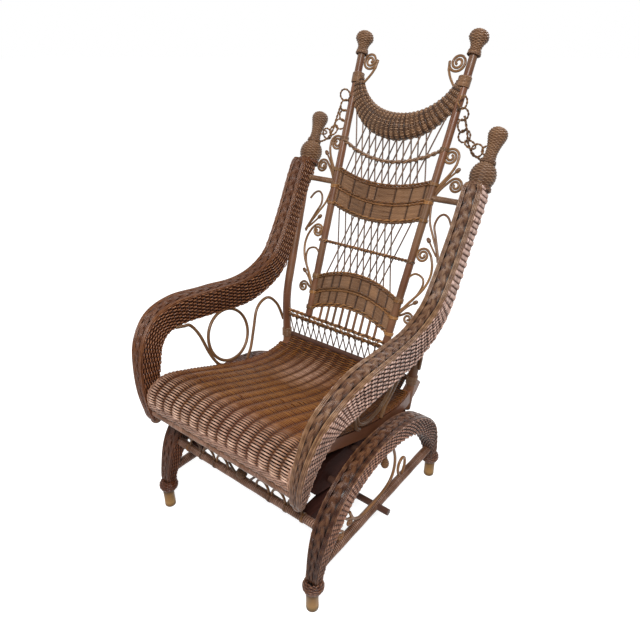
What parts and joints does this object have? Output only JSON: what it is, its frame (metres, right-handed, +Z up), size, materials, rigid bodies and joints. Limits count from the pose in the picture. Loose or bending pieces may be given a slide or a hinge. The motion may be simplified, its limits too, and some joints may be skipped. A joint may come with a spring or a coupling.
{
  "type": "wicker platform rocking chair",
  "caption": "Woven reed armchair with a high scrolled back that rocks on short runners over a separate arched platform base",
  "frame": {"origin": "centre of the chair's bounding box, on the floor under the four feet", "axes": "+X across the chair to the sitter's left, which is the right in a front view, +Y to the rear, +Z up; the front faces -Y"},
  "size_m": [0.6642, 0.8817, 1.2739],
  "materials": {
    "dark_wood": "dark stained hardwood",
    "iron": "dark iron",
    "peg_wood": "bare pale wood",
    "red_wood": "red brown stained hardwood",
    "reed_brown": "bent round reed",
    "seat_brown": "close woven reed, worn to red brown",
    "wicker": "woven round reed, stained brown and shellacked",
    "wicker_dark": "twisted and wrapped reed, dark"
  },
  "bodies": {
    "base": {"base_arch_left": "wicker", "base_arch_right": "wicker", "foot_pegs": "peg_wood", "ankle_rings": "wicker_dark", "side_stretchers": "wicker", "cross_stretcher": "wicker_dark", "front_stretcher": "wicker", "rear_stretcher": "wicker", "platform_rails": "dark_wood", "spring_plates_low": "iron", "base_scrolls_left": "reed_brown", "base_scrolls_right": "reed_brown", "front_scrolls": "reed_brown", "springs_front": "iron", "springs_rear": "iron"},
    "chair": {"spring_plates_top": "iron", "runner_left": "dark_wood", "runner_right": "dark_wood", "runner_bars": "dark_wood", "side_rail_left": "red_wood", "side_rail_right": "red_wood", "seat_front_rail": "wicker", "seat_rear_rail": "red_wood", "seat_weave": "seat_brown", "front_pegs": "red_wood", "rear_post_left": "red_wood", "rear_post_right": "red_wood", "arm_left": "wicker", "arm_right": "wicker", "arm_rings": "wicker_dark", "arm_balls": "wicker", "arm_knobs": "wicker", "back_post_left": "red_wood", "back_post_right": "red_wood", "back_knobs": "wicker", "crescent_roll": "wicker", "upper_lattice": "reed_brown", "rope_arc": "wicker_dark", "upper_panel": "wicker", "middle_lattice": "reed_brown", "twisted_rod": "wicker_dark", "lower_panel": "wicker", "spindles": "red_wood", "back_rails": "wicker_dark", "lower_lattice": "reed_brown", "back_struts": "red_wood", "top_scrolls_left": "reed_brown", "top_scrolls_right": "reed_brown", "side_scrolls_left": "reed_brown", "side_scrolls_right": "reed_brown", "ring_chain_left": "reed_brown", "ring_chain_right": "reed_brown", "side_reeds_left": "reed_brown", "side_reeds_right": "reed_brown", "post_wraps": "wicker"}
  },
  "joints": [
    {"name": "rock", "type": "hinge", "parent": "base", "child": "chair", "pos_m": [0, -0.10423, 0.236], "axis": [-1, 0, 0], "range_deg": [-10, 10], "stiffness_Nm_per_rad": 110, "springref_deg": -4.01, "deforming": ["springs_front", "springs_rear"]}
  ]
}
